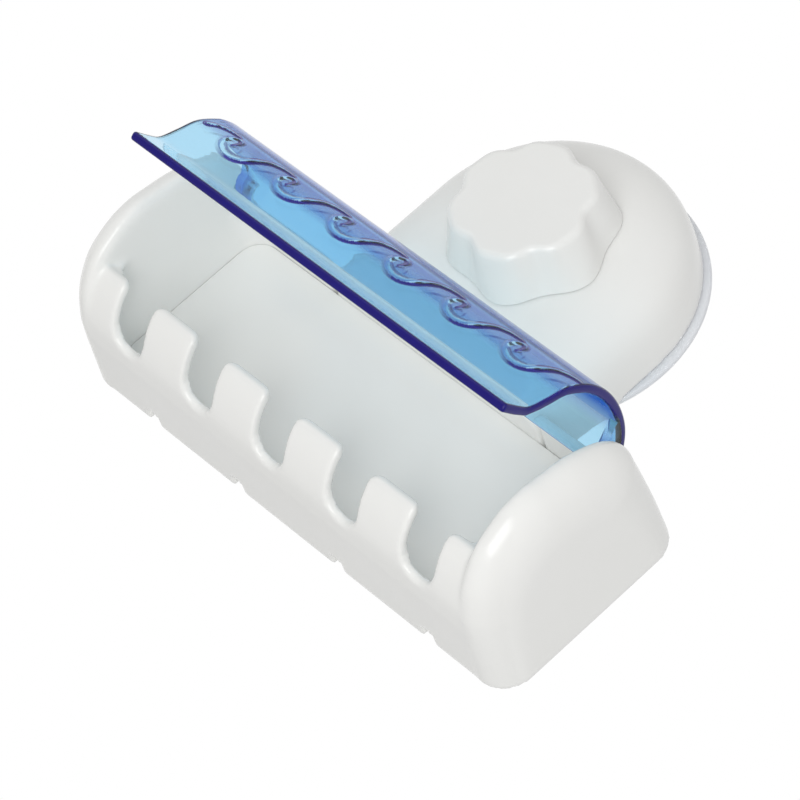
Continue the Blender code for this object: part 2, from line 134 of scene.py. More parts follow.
def skinned(rings):
    # a closed skin over rings of the same number of points, from one grid
    across, rows = len(rings[0]) + 1, len(rings)
    work = bmesh.new()
    bmesh.ops.create_grid(work, x_segments=across - 1, y_segments=rows - 1, size=1)
    work.verts.ensure_lookup_table()
    for row, ring in enumerate(rings):
        for column, point in enumerate(ring + ring[:1]):
            work.verts[row * across + column].co = point
    bmesh.ops.remove_doubles(work, verts=work.verts, dist=weld)
    rims = [edge for edge in work.edges if edge.is_boundary]
    bmesh.ops.holes_fill(work, edges=rims, sides=0)
    bmesh.ops.recalc_face_normals(work, faces=work.faces)
    return asMesh(work, "skin")


def prism(outline, start, end, way):
    return skinned([[way(*point, far) for point in outline] for far in (start, end)])


def spun(profile, steps=128):
    # a profile of (radius, depth) turned about the knob's axis
    work = bmesh.new()
    corners = [work.verts.new((radius, -depth, 0)) for radius, depth in profile]
    wires = [work.edges.new(pair) for pair in zip(corners, corners[1:])]
    if profile[0][0] > 0:
        wires.append(work.edges.new((corners[-1], corners[0])))
    bmesh.ops.spin(work, geom=corners + wires, cent=(0, 0, 0), axis=(0, 1, 0), dvec=(0, 0, 0),
                   angle=2 * pi, steps=steps, use_merge=True, use_duplicate=False)
    bmesh.ops.remove_doubles(work, verts=work.verts, dist=weld)
    bmesh.ops.recalc_face_normals(work, faces=work.faces)
    return asMesh(work, "spun")


def rod(radius, rear, front, steps=128):
    # a round bar on the knob's axis
    return spun([(0.0, rear), (radius, rear), (radius, front), (0.0, front)], steps)


def settled(item):
    # the item's mesh with its modifiers applied; the item is removed
    graph = bpy.context.evaluated_depsgraph_get()
    mesh = bpy.data.meshes.new_from_object(item.evaluated_get(graph))
    bpy.data.objects.remove(item, do_unlink=True)
    return mesh


def bench(mesh):
    item = bpy.data.objects.new("bench", mesh)
    bpy.context.scene.collection.objects.link(item)
    return item


def carved(target, tool, operation="DIFFERENCE"):
    item, other = bench(target), bench(tool)
    modifier = item.modifiers.new("carve", "BOOLEAN")
    modifier.operation = operation
    modifier.solver = "MANIFOLD"
    modifier.object = other
    bpy.context.view_layer.update()
    mesh = settled(item)
    bpy.data.objects.remove(other, do_unlink=True)
    return mesh


def joined(target, tool):
    return carved(target, tool, "UNION")


def mirrored(mesh):
    # the mesh with its mirror image across x = 0
    work = bmesh.new()
    work.from_mesh(mesh)
    bmesh.ops.mirror(work, geom=work.verts[:] + work.edges[:] + work.faces[:], axis="X",
                     merge_dist=0)
    bmesh.ops.recalc_face_normals(work, faces=work.faces)
    work.to_mesh(mesh)
    work.free()
    return mesh


def softened(mesh, voxel, passes):
    # edges rounded as a moulder rounds them: even small cells, then smoothing
    item = bench(mesh)
    remesh = item.modifiers.new("cells", "REMESH")
    remesh.mode = "VOXEL"
    remesh.voxel_size = voxel
    smooth = item.modifiers.new("soften", "SMOOTH")
    smooth.factor = 0.5
    smooth.iterations = passes
    bpy.context.view_layer.update()
    return settled(item)


def finishPiece(name, mesh, material, body, node, sharp=None):
    # sharp: degrees between two faces past which their edge stays crisp
    mesh.transform(Matrix.Scale(mm, 4))
    mesh.shade_smooth()
    if sharp:
        mesh.set_sharp_from_angle(angle=radians(sharp))
    mesh.materials.clear()
    mesh.materials.append(material)
    item = bpy.data.objects.new(name, mesh)
    bpy.context.scene.collection.objects.link(item)
    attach(item, body)
    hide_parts(node)
    print(name, "made,", len(mesh.polygons), "faces")


# Materials

mixFirst, mixSecond, mixResult = 6, 7, 2     # a Mix node's colour sockets, by number


def colour(code):
    # an sRGB hex value as the linear colour that a socket takes
    shares = [int(code[index:index + 2], 16) / 255 for index in (1, 3, 5)]
    return tuple(s / 12.92 if s <= 0.04045 else ((s + 0.055) / 1.055) ** 2.4
                 for s in shares) + (1.0,)


def addNode(owner, kind, settings=None, links=None):
    # a node in a material's or a world's tree; a socket goes by its name or number
    tree = owner.node_tree
    node = tree.nodes.new(kind)
    for name, value in (settings or {}).items():
        if isinstance(name, int) or name in node.inputs:
            node.inputs[name].default_value = value
        else:
            setattr(node, name, value)
    for name, source in (links or {}).items():
        tree.links.new(source, node.inputs[name])
    return node


def newMaterial(name, settings):
    material = bpy.data.materials.new(name)
    material.use_nodes = True
    shader = material.node_tree.nodes["Principled BSDF"]
    for socket, value in settings.items():
        shader.inputs[socket].default_value = value
    return material, shader


def rippled(material, shader, look, where):
    # shallow ripples that bend the gloss
    wave = addNode(material, "ShaderNodeTexNoise",
                   {"Scale": 1 / (look["ripple"] * mm), "Detail": 1.0}, {"Vector": where})
    bump = addNode(material, "ShaderNodeBump",
                   {"Strength": 1.0, "Distance": look["rippleHeight"] * mm},
                   {"Height": wave.outputs["Fac"]})
    material.node_tree.links.new(bump.outputs["Normal"], shader.inputs["Normal"])


def patterned(name, look):
    # a material whose colour drifts over patches, its roughness with it
    material, shader = newMaterial(name, look["sockets"])
    link = material.node_tree.links.new
    where = addNode(material, "ShaderNodeTexCoord").outputs["Object"]
    drift = addNode(material, "ShaderNodeTexNoise",
                    {"Scale": 1 / (look["patch"] * mm), "Detail": 2.0, "Roughness": 0.55},
                    {"Vector": where}).outputs["Fac"]
    tint = addNode(material, "ShaderNodeMix",
                   {"data_type": "RGBA", mixFirst: colour(look["dark"]),
                    mixSecond: colour(look["light"])}, {"Factor": drift})
    link(tint.outputs[mixResult], shader.inputs["Base Color"])
    gloss = addNode(material, "ShaderNodeMapRange",
                    {"To Min": look["smooth"], "To Max": look["rough"]}, {"Value": drift})
    link(gloss.outputs["Result"], shader.inputs["Roughness"])
    rippled(material, shader, look, where)
    return material


# injection-moulded ABS: a warm white with a soft, slightly wavy gloss
absLook = {
    "sockets": {"IOR": 1.53},
    "light": "#F6F6F4",
    "dark": "#F2F2EF",
    "patch": 30.0,           # slow drift of the white over the moulding
    "smooth": 0.20,
    "rough": 0.26,
    "ripple": 4.0,           # the faint waviness of a polished mould
    "rippleHeight": 0.006,
}

# plasticised PVC: milky and clear at once, with a blue cast and a soft shine
pvcLook = {
    "sockets": {"IOR": 1.53, "Transmission Weight": 0.16},
    "light": "#FBFCFE",
    "dark": "#F3F7FD",
    "patch": 18.0,
    "smooth": 0.30,
    "rough": 0.37,
    "ripple": 6.0,
    "rippleHeight": 0.005,
}

# free-cutting brass from a lathe: yellow, with fine tool rings
brassLook = {
    "sockets": {"Metallic": 1.0},
    "light": "#D8B36A",
    "dark": "#C39A4E",
    "patch": 4.0,
    "smooth": 0.29,
    "rough": 0.38,
    "ripple": 0.4,
    "rippleHeight": 0.004,
}

# steel with bright zinc plating: pale grey, a little blotchy
steelLook = {
    "sockets": {"Metallic": 1.0},
    "light": "#C9CCD0",
    "dark": "#B4B8BE",
    "patch": 5.0,
    "smooth": 0.29,
    "rough": 0.40,
    "ripple": 0.5,
    "rippleHeight": 0.003,
}

# natural nylon: off-white, matt and a little waxy
nylonLook = {
    "sockets": {"IOR": 1.53},
    "light": "#E9E6DC",
    "dark": "#DFDBCF",
    "patch": 6.0,
    "smooth": 0.42,
    "rough": 0.55,
    "ripple": 0.8,
    "rippleHeight": 0.008,
}

# matt paper: a plain pale floor with hardly any shine
paperLook = {
    "sockets": {"Specular IOR Level": 0.2},
    "light": "#F6F6F6",
    "dark": "#F2F2F2",
    "patch": 200.0,
    "smooth": 0.85,
    "rough": 0.95,
    "ripple": 2.0,
    "rippleHeight": 0.02,
}

lidLook = {
    "clear": "#B4DFF5",      # the dye seen straight through the sheet
    "bent": "#2460D0",       # painted shade at the bend, where the look goes far through the sheet
    "edge": "#180D78",       # painted shade of an edge: the dye seen through the length of an edge
    "edgeFull": 0.4,         # painted edge shade at which that colour is full
    "edgeClear": 0.10,       # share of light that still goes through an edge under its painted shade
    "dye": "#E3F6FD",
    "dyeDensity": 200.0,     # per metre, with the colour above what passes
    "bend": 1.45,            # a little under the real 1.59, so that edges gather less light
    "shine": 0.3,
    # painted shade at the bend: a slanting look there is shown darker, as through more dye
    "slantFrom": 0.43,       # a slanting look at the bend goes through more dye: where it begins
    "slantTo": 0.76,         # and ends to grow, and its strength there
    "slantShade": 0.78,
    "bendFrom": -48.0,       # heights between which the lip's flare becomes the bend
    "bendTo": -40.0,
    "roughness": 0.035,
    "ripple": 6.0,
    "rippleHeight": 0.010,
}


def tintedPolystyrene():
    # clear polystyrene dyed blue: bright, with violet painted as shade where light would go far in
    # it
    material, shader = newMaterial("tintedBluePolystyrene", {
        "IOR": lidLook["bend"], "Specular IOR Level": lidLook["shine"],
        "Transmission Weight": 1.0, "Roughness": lidLook["roughness"]})
    link = material.node_tree.links.new
    # the painted shade of an edge and of the bend shows only from outside, so from within they
    # stay clear
    within = addNode(material, "ShaderNodeNewGeometry").outputs["Backfacing"]
    outside = addNode(material, "ShaderNodeMapRange", {"To Min": 1.0, "To Max": 0.0},
                      {"Value": within}).outputs["Result"]
    where = addNode(material, "ShaderNodeTexCoord").outputs["Object"]
    height = addNode(material, "ShaderNodeSeparateXYZ", None, {"Vector": where}).outputs["Z"]
    high = addNode(material, "ShaderNodeMapRange",
                   {"From Min": lidLook["bendFrom"] * mm, "From Max": lidLook["bendTo"] * mm},
                   {"Value": height, "To Max": outside}).outputs["Result"]
    # painted shade at the bend, growing as the look slants
    slant = addNode(material, "ShaderNodeLayerWeight").outputs["Facing"]
    bend = addNode(material, "ShaderNodeMapRange",
                   {"From Min": lidLook["slantFrom"], "From Max": lidLook["slantTo"]},
                   {"Value": slant, "To Max": high}).outputs["Result"]
    # painted shade at the lid's edges and at the relief's feet, kept in a mesh attribute
    paintedMarks = addNode(material, "ShaderNodeAttribute", {"attribute_name": "paintedEdgeAndFootShade"})
    edge = addNode(material, "ShaderNodeMapRange", None,
                   {"Value": paintedMarks.outputs["Fac"], "To Max": outside}).outputs["Result"]
    # painted shade all over the ears, kept in a mesh attribute
    thick = addNode(material, "ShaderNodeAttribute", {"attribute_name": "paintedDepthShade"})
    blue = addNode(material, "ShaderNodeMath", {"operation": "MAXIMUM"},
                   {0: bend, 1: thick.outputs["Fac"]}).outputs["Value"]
    bent = addNode(material, "ShaderNodeMix",
                   {"data_type": "RGBA", mixFirst: colour(lidLook["clear"]),
                    mixSecond: colour(lidLook["bent"])}, {"Factor": blue})
    deep = addNode(material, "ShaderNodeMapRange", {"From Max": lidLook["edgeFull"]},
                   {"Value": edge}).outputs["Result"]
    shadedColour = addNode(material, "ShaderNodeMix",
                   {"data_type": "RGBA", mixSecond: colour(lidLook["edge"])},
                   {"Factor": deep, mixFirst: bent.outputs[mixResult]})
    link(shadedColour.outputs[mixResult], shader.inputs["Base Color"])
    # where shade is painted, less light goes through the sheet
    deepDimming = addNode(material, "ShaderNodeMapRange", {"To Max": lidLook["slantShade"]},
                   {"Value": blue}).outputs["Result"]
    most = addNode(material, "ShaderNodeMath", {"operation": "MAXIMUM"}, {0: edge, 1: deepDimming})
    clear = addNode(material, "ShaderNodeMapRange",
                    {"To Min": 1.0, "To Max": lidLook["edgeClear"]},
                    {"Value": most.outputs["Value"]})
    link(clear.outputs["Result"], shader.inputs["Transmission Weight"])
    rippled(material, shader, lidLook, where)
    dye = addNode(material, "ShaderNodeVolumeAbsorption",
                  {"Color": colour(lidLook["dye"]), "Density": lidLook["dyeDensity"]})
    output = material.node_tree.nodes["Material Output"]
    link(dye.outputs["Volume"], output.inputs["Volume"])
    # lamps and soft light shine straight through the sheet, with the dye's tint
    path = addNode(material, "ShaderNodeLightPath")
    soft = addNode(material, "ShaderNodeMath", {"operation": "MAXIMUM"},
                   {0: path.outputs["Is Shadow Ray"], 1: path.outputs["Is Diffuse Ray"]})
    through = addNode(material, "ShaderNodeBsdfTransparent")
    lit = addNode(material, "ShaderNodeMixShader", None,
                  {0: soft.outputs["Value"], 1: shader.outputs["BSDF"],
                   2: through.outputs["BSDF"]})
    link(lit.outputs["Shader"], output.inputs["Surface"])
    return material


whiteAbs = patterned("mouldedWhiteAbs", absLook)
bluePolystyrene = tintedPolystyrene()
clearPvc = patterned("softClearPvc", pvcLook)
print("materials made")


# Tray

tray = {
    "room": 66.0,            # inner faces of the end caps
    "end": 76.5,
    "capDepth": 46.8,
    "capTop": -30.4,
    "capHeight": 57.8,
    "capRun": 8.6,           # rounding of a cap, along the tray
    "capFront": 15.0,        # and across, at the front
    "capRoll": 1.8,          # rounding of its inner rim
    "skin": 2.4,
    "rear": 0.5,             # the rear rim stands this far off the wall
    "roomRound": 6.3,
    "wallFront": 20.0,
    "wallTop": -33.5,
    "roomTop": -36.5,
    "under": -88.2,
    "floorRise": 0.8,
    "floorBend": 20.0,
    "fenceDepth": 38.3,
    "fenceTop": -75.2,
    "fenceSkin": 2.9,
    "open": 60.0,            # the room is open this far ahead of the wall
    "slotCount": 5,
    "slotPitch": 26.0,
    "slotHalf": 5.4,
    "slotFoot": 25.0,
    "slotCut": (65.0, 98.0),     # from above the fence to below the floor
    "cornerRound": 3.5,
    "cornerShare": 0.98,     # of that radius, from its centre to the prong's faces
    "notches": (18.1, 50.1),
    "notchWidth": 3.4,
    "notchDepth": 4.2,
    "notchCut": (-98.0, -80.8),
    "neckHalf": 37.65,
    "neckCut": (-42.8, -30.4),
    "pivotDepth": 28.0,
    "pivotHeight": -36.3,
    "pinHole": 1.65,
    "capSteps": 8,
    "fenceSteps": 6,
    "roundSteps": 14,
    "rollSteps": 6,
    "roomSteps": 12,
    "arcSteps": 32,
    "holeSteps": 24,
    "voxel": 0.63,
    "passes": 7,
}

# shares of a cap's depth and height, over its top from the wall to its foot
capLine = (
    (0.000, 0.000), (0.300, 0.017), (0.605, 0.047), (0.716, 0.062),
    (0.801, 0.104), (0.876, 0.175), (0.955, 0.313), (0.989, 0.464),
    (1.000, 0.545), (0.983, 0.651), (0.938, 0.746), (0.887, 0.817),
    (0.812, 0.875), (0.705, 0.931), (0.577, 0.967), (0.427, 0.986),
    (0.000, 1.000))
# shares of the reach and height from the floor's bend to the fence's top
fenceOuter = (
    (0.000, 0.000), (0.366, 0.090), (0.656, 0.287), (0.874, 0.533),
    (1.000, 0.787), (0.990, 0.920), (0.930, 0.985))
fenceInner = ((0.328, 0.112), (0.585, 0.337), (0.776, 0.612), (0.855, 0.857))


def capRing(place, skin, inset, rear):
    points = [(a * tray["capDepth"], tray["capTop"] - b * tray["capHeight"]) for a, b in capLine]
    line = smoothLine(points, tray["capSteps"])
    growth = (tray["capFront"] - skin) / (tray["capRun"] - skin) - 1
    # the line runs front to back over the top, so its right is the inside
    line = leftOf(line, [-skin - inset * (1 + depth / tray["capDepth"] * growth)
                         for depth, height in line])
    line = [(-rear, line[0][1])] + line + [(-rear, line[-1][1])]
    return [(place, -depth, height) for depth, height in line]


def roundedRings(place, skin, run, across, side, rear, steps):
    return [capRing(place - side * run * (1 - sin(turn)), skin, across * (1 - cos(turn)), rear)
            for turn in quarterTurns(steps)]


def fencePoints(shares, floor):
    low = floor + tray["floorRise"]
    reach = tray["fenceDepth"] - tray["floorBend"]
    return [(tray["floorBend"] + a * reach, low + b * (tray["fenceTop"] - low))
            for a, b in shares]


def trayRoom():
    floor = tray["under"] + tray["skin"]
    inner = smoothLine(fencePoints(fenceInner, floor), tray["fenceSteps"])
    outline = ([(-2 * past, tray["roomTop"]), (tray["open"], tray["roomTop"]),
                (tray["open"], tray["fenceTop"]),
                (tray["fenceDepth"] - tray["fenceSkin"] / 2, tray["fenceTop"])] + inner[::-1]
               + [(tray["floorBend"], floor + tray["floorRise"]), (-2 * past, floor)])
    radius = tray["roomRound"]
    rings = [(-tray["room"] + radius * (1 - sin(turn)), radius * (1 - cos(turn)))
             for turn in quarterTurns(tray["roomSteps"])[::-1]]
    rings += [(-place, across) for place, across in rings[::-1]]
    # clockwise seen with depth to the right, so the inside is on the right
    return skinned([[alongX(*point, place) for point in
                     leftOf(outline, [-across] * len(outline), closed=True)]
                    for place, across in rings])


def slotted(mesh):
    # a round-footed slot and its rounded mouth between two prongs, five times
    half, radius, steps = tray["slotHalf"], tray["cornerRound"], tray["arcSteps"]
    inwards = tray["cornerShare"] * radius
    for index in range(tray["slotCount"]):
        middle = (index - (tray["slotCount"] - 1) / 2) * tray["slotPitch"]
        foot = arc((middle, tray["slotFoot"] + half), half, -pi, 0, steps)
        outline = foot + [(middle + half, tray["open"]), (middle - half, tray["open"])]
        mesh = carved(mesh, prism(outline, *tray["slotCut"], downwards))
        centre = (middle + half + inwards, tray["fenceTop"] - inwards)
        mouth = arc(centre, radius, pi, pi / 2, steps // 2)
        mouth.append((centre[0], tray["fenceTop"] + radius))
        mouth += [(2 * middle - x, height) for x, height in mouth[::-1]]
        mesh = carved(mesh, prism(mouth, tray["slotFoot"], tray["open"], frontwards))
    return mesh


def makeTray():
    room, end, skin = tray["room"], tray["end"], tray["skin"]
    fence = smoothLine(fencePoints(fenceOuter, tray["under"]), tray["fenceSteps"])
    hull = ([(-past, tray["wallTop"]), (tray["wallFront"], tray["wallTop"])] + fence[::-1]
            + [(-past, tray["under"])])
    mesh = prism(hull, -room - overlap, room + overlap, alongX)
    roll, run = tray["capRoll"], tray["capRun"]
    rings = roundedRings(room, 0.0, roll, roll, -1, past, tray["rollSteps"])[::-1]
    rings += roundedRings(end, 0.0, run, run, 1, past, tray["roundSteps"])
    mesh = joined(mesh, mirrored(skinned(rings)))
    mesh = carved(mesh, trayRoom())
    pocket = roundedRings(end - skin, skin, end - room - 2 * skin, run - skin, 1, 2 * past,
                          tray["roundSteps"])
    mesh = carved(mesh, mirrored(skinned(pocket)))
    neck = box(-tray["neckHalf"], tray["neckHalf"], *tray["neckCut"])
    mesh = carved(mesh, prism(neck, -past, tray["open"], frontwards))
    mesh = slotted(mesh)
    half = tray["notchWidth"] / 2
    for place in tray["notches"]:
        notch = prism(box(place - half, place + half, *tray["notchCut"]), -past,
                      tray["rear"] + tray["notchDepth"], frontwards)
        mesh = carved(mesh, mirrored(notch))
    hole = arc((tray["pivotDepth"], tray["pivotHeight"]), tray["pinHole"], 0, 2 * pi,
               tray["holeSteps"])[:-1]
    mesh = carved(mesh, mirrored(prism(hole, room - skin, room + 1.5 * skin, alongX)))
    # everything behind the rear rim goes
    behind = box(-2 * end, 2 * end, 2 * tray["under"], -tray["under"])
    mesh = carved(mesh, prism(behind, -4 * past, tray["rear"], frontwards))
    mesh = softened(mesh, tray["voxel"], tray["passes"])
    finishPiece("trayMoulding", mesh, whiteAbs, "base", "tray_shell")


# Housing

housing = {
    "radius": 37.3,
    "front": 23.3,
    "rear": 1.0,
    "rim": 1.9,
    "wall": 2.5,
    "foot": -36.4,
    "reliefFoot": -80.0,     # the cut in front of the neck: how low, and half its width
    "reliefHalf": 50.0,
    "bridgeDrop": 1.5,       # the web from the neck down to the panel
    "bridgeRear": 3.0,
    "panelFront": 10.0,
    "panelRear": 0.8,
    "panelSkin": 2.4,
    "panelWall": 2.2,
    "panelRound": 0.15,
    "panelGap": 0.10,
    "hookDrop": 1.5,
    "ringInner": 34.9,       # the ring that presses on the pad
    "ringWall": 1.4,
    "ringRear": 1.4,
    "ringFront": 9.0,
    "hub": 8.5,
    "hubRear": 12.0,
    "hubFront": 22.0,
    "bore": 4.4,
    "padWay": 39.3,
    "archSteps": 96,
    "lineSteps": 4,
    "edgeSteps": 4,
    "voxel": 0.62,
    "passes": 8,
    "sharp": 35,
}

# shares of the radius and of the depth from the rim to the front
domeLine = (
    (0.992, 0.285), (0.979, 0.472), (0.957, 0.612),
    (0.917, 0.738), (0.855, 0.841), (0.776, 0.921), (0.685, 0.972),
    (0.596, 0.995), (0.536, 1.000))
# shares of the depth and of the foot's height, down the neck's front
neckLine = ((1.020, 0.380), (0.966, 0.687), (0.923, 0.797), (0.858, 0.912))


def archRing(radius, foot, depth):
    top = arc((0, 0), radius, 0, pi, housing["archSteps"])
    return [(x, -depth, height) for x, height in top + [(-radius, foot), (radius, foot)]]


def domeRings(wall, foot, rear):
    span = housing["front"] - housing["rim"]
    rings = [archRing(a * housing["radius"] - wall, foot, housing["rim"] + b * span - wall)
             for a, b in smoothLine(domeLine, housing["lineSteps"])]
    return [archRing(housing["radius"] - wall, foot, rear)] + rings


def neckRelief(wall):
    low, ahead = housing["reliefFoot"], tray["wallFront"] - wall
    front = [(a * housing["front"] - wall, b * housing["foot"] + wall)
             for a, b in smoothLine(neckLine, housing["lineSteps"])]
    front += [(ahead, tray["wallTop"] + wall), (ahead, low)]
    front += [(tray["open"], low), (tray["open"], front[0][1])]
    return prism(front, -housing["reliefHalf"], housing["reliefHalf"], alongX)


def housingShell():
    wall, foot, inner = housing["wall"], housing["foot"], housing["ringInner"]
    mesh = carved(skinned(domeRings(0.0, foot, housing["rear"])), neckRelief(0.0))
    hollow = carved(skinned(domeRings(wall, foot + wall, -past)), neckRelief(wall))
    mesh = carved(mesh, hollow)
    half = housing["radius"] - wall / 2
    bridge = box(-half, half, foot - housing["bridgeDrop"], foot + wall / 2)
    mesh = joined(mesh, prism(bridge, housing["bridgeRear"],
                              housing["panelFront"] - housing["panelSkin"] / 2, frontwards))
    mesh = joined(mesh, spun(box(inner, inner + housing["ringWall"], housing["ringRear"],
                                 housing["ringFront"])))
    mesh = joined(mesh, rod(housing["hub"], housing["hubRear"], housing["hubFront"]))
    mesh = carved(mesh, rod(housing["bore"], -past, housing["front"] + past))
    mesh = carved(mesh, rod(housing["padWay"], -past, housing["rim"]))
    return softened(mesh, housing["voxel"], housing["passes"])


def backPanel():
    # the panel keeps crisper edges than the dome
    gap, steps = housing["panelGap"], housing["edgeSteps"]
    side, top = tray["room"] - gap, tray["roomTop"] - gap
    low = tray["under"] + tray["skin"] + tray["floorRise"] / 2 + fitGap
    radius, edge = tray["roomRound"] - gap, housing["panelRound"]
    outline = roundedBox(-side, side, low, top, radius)
    rings = [[frontwards(*point, housing["panelRear"]) for point in outline]]
    for turn in quarterTurns(steps):
        inner = leftOf(outline, [edge * (1 - cos(turn))] * len(outline), closed=True)
        rings.append([frontwards(*point, housing["panelFront"] - edge * (1 - sin(turn)))
                      for point in inner])
    panel = skinned(rings)
    inside = housing["panelWall"]
    hollow = roundedBox(-side + inside, side - inside, low + inside, top - inside, radius - inside)
    panel = carved(panel, prism(hollow, -past, housing["panelFront"] - housing["panelSkin"],
                                frontwards))
    half = tray["notchWidth"] / 2 - fitGap
    for place in tray["notches"]:
        hook = box(place - half, place + half, low - housing["hookDrop"], low + inside / 2)
        tab = prism(hook, housing["panelRear"] + faceStep,
                    tray["rear"] + tray["notchDepth"] - fitGap, frontwards)
        panel = joined(panel, mirrored(tab))
    return panel


def makeHousing():
    work = bmesh.new()
    work.from_mesh(housingShell())
    work.from_mesh(backPanel())
    finishPiece("housingMoulding", asMesh(work, "housing"), whiteAbs, "base", "back_housing",
                housing["sharp"])


# Knob

knob = {
    "rear": 23.6,
    "front": 37.65,
    "faceRadius": 17.44,
    "faceLobe": 0.88,
    "faceDent": 0.35,
    "baseRadius": 20.2,
    "baseLobe": 1.25,
    "lobes": 6,
    "turn": -6.6,            # degrees, a lobe's middle from +X towards +Z
    "edge": 1.7,
    "wall": 2.4,
    "faceSkin": 2.6,
    "boss": 10.0,
    "bossRear": 25.2,
    "acrossFlats": 13.6,     # pocket of the hexagon nut
    "pocketTop": 33.8,
    "bore": 4.4,
    "boreRear": 15.0,
    "boreTop": 34.8,
    "dish": 0.3,             # how far the face sinks towards its middle
    "faceRings": (0.97, 0.93, 0.85, 0.7, 0.5, 0.3, 0.12),    # shares of the face's radius
    "steps": 240,
    "sideRows": 6,
    "edgeSteps": 10,
    "boreSteps": 48,
    "sharp": 35,
}


def knobRing(depth, inset, scale=1.0):
    share = (depth - knob["rear"]) / (knob["front"] - knob["rear"])
    share = min(max(share, 0.0), 1.0)
    ring = []
    for step in range(knob["steps"]):
        angle = 2 * pi * step / knob["steps"]
        lobe = knob["lobes"] * (angle - radians(knob["turn"]))
        base = knob["baseRadius"] + knob["baseLobe"] * cos(lobe)
        face = knob["faceRadius"] + knob["faceLobe"] * cos(lobe) - knob["faceDent"] * cos(2 * lobe)
        radius = (base + (face - base) * share - inset) * scale
        ring.append((radius * cos(angle), -depth, radius * sin(angle)))
    return ring


def makeKnob():
    rear, edge, rows = knob["rear"], knob["edge"], knob["sideRows"]
    foot = knob["front"] - edge
    rings = [knobRing(rear + (foot - rear) * row / rows, 0.0) for row in range(rows)]
    for turn in quarterTurns(knob["edgeSteps"]):
        rings.append(knobRing(foot + edge * sin(turn), edge * (1 - cos(turn))))
    for scale in knob["faceRings"]:
        depth = knob["front"] - knob["dish"] * (1 - scale)
        ring = knobRing(knob["front"], edge, scale)
        rings.append([(x, -depth, height) for x, y, height in ring])
    mesh = skinned(rings)
    wall, top = knob["wall"], knob["front"] - knob["faceSkin"]
    mesh = carved(mesh, skinned([knobRing(rear - past, wall), knobRing(top, wall)]))
    mesh = joined(mesh, rod(knob["boss"], knob["bossRear"], top + overlap))
    corner = knob["acrossFlats"] / 2 / cos(pi / 6)
    flats = arc((0, 0), corner, 0, 2 * pi, 6)[:-1]
    mesh = carved(mesh, prism(flats, knob["bossRear"] - past, knob["pocketTop"], frontwards))
    mesh = carved(mesh, rod(knob["bore"], knob["boreRear"], knob["boreTop"], knob["boreSteps"]))
    finishPiece("knobMoulding", mesh, whiteAbs, "knob", "knob", knob["sharp"])


# Suction pad

pad = {
    "radius": 38.9,
    "rim": 1.6,
    "rimFlat": 6.0,          # from the outer edge to where the flat rim ends
    "shoulder": 17.2,
    "bossFront": 9.2,
    "pocket": 14.4,          # round the stud's plate
    "pocketFloor": 3.5,
    "edge": 0.5,
    "edgeSteps": 5,
    "rimSteps": 6,
    "bendSteps": 14,
    "turnSteps": 160,
    "sharp": 40,
}


def makePad():
    radius, rim, edge, steps = pad["radius"], pad["rim"], pad["edge"], pad["edgeSteps"]
    bend = pad["bossFront"] / 2
    profile = [(0.0, 0.0), (radius - edge, 0.0)]
    profile += arc((radius - edge, edge), edge, -pi / 2, 0, steps)[1:]
    profile += arc((radius - rim / 2, rim / 2), rim / 2, 0, pi / 2, pad["rimSteps"])
    profile.append((radius - pad["rimFlat"], rim))
    profile += arc((pad["shoulder"] + bend, rim + bend), bend, -pi / 2, -pi, pad["bendSteps"])
    profile += arc((pad["shoulder"] - edge, pad["bossFront"] - edge), edge, 0, pi / 2, steps)
    profile += arc((pad["pocket"] + edge, pad["bossFront"] - edge), edge, pi / 2, pi, steps)
    profile += [(pad["pocket"], pad["pocketFloor"]), (0.0, pad["pocketFloor"])]
    mesh = spun(profile, pad["turnSteps"])
    finishPiece("padMoulding", mesh, clearPvc, "base", "suction_pad", pad["sharp"])


# Lid

lid = {
    "rear": 22.3,
    "reach": 48.7,
    "crown": -29.5,
    "drop": 27.5,
    "half": 64.84,
    "wall": 2.3,
    "edge": 0.80,            # rounding of all its edges
    "edgeSteps": 4,
    "lineSteps": 40,
    "columns": 480,
    "coarseStep": 1.2,       # along the section from the rear end
    "fineStep": 0.27,
    "fineFrom": 37.0,        # the fine steps, where the relief is
    "fineTo": 52.0,
    "innerSkip": 3,          # the inner side takes one point in three
    "reliefFrom": 37.5,
    "reliefTo": 51.5,
    "reliefEnd": 0.7,        # the relief keeps this far from the lid's ends
    "shadeStart": 0.85,       # an edge's painted shade, in shares of its rounding: how far inside it begins
    "shadeRun": 0.5,          # and how far it takes to grow full
    "earThickness": 2.44,
    "earReach": 10.0,
    "earShade": 0.85,         # painted shade of the dye seen through the depth of an ear
    "toeReach": 4.4,
    "toeDrop": 0.7,
    "boss": 2.6,
    "bossStart": -50.4,      # degrees, where its round meets the toe
    "bossSteps": 16,
    "pin": 1.5,
    "pinRoot": 1.2,          # how far a pin starts inside the ear
    "pinLength": 3.36,
    "pinSteps": 24,
    "sharp": 50,
}

# shares of the reach and drop, from the rear end over the crown to the lip
lidPoints = (
    (0.000, 0.313), (0.026, 0.211), (0.071, 0.1255), (0.129, 0.064),
    (0.201, 0.020), (0.281, 0.000), (0.376, 0.0055), (0.465, 0.0335),
    (0.549, 0.085), (0.623, 0.156), (0.684, 0.240), (0.769, 0.418),
    (0.809, 0.607), (0.850, 0.793), (0.896, 0.871), (1.000, 1.000))

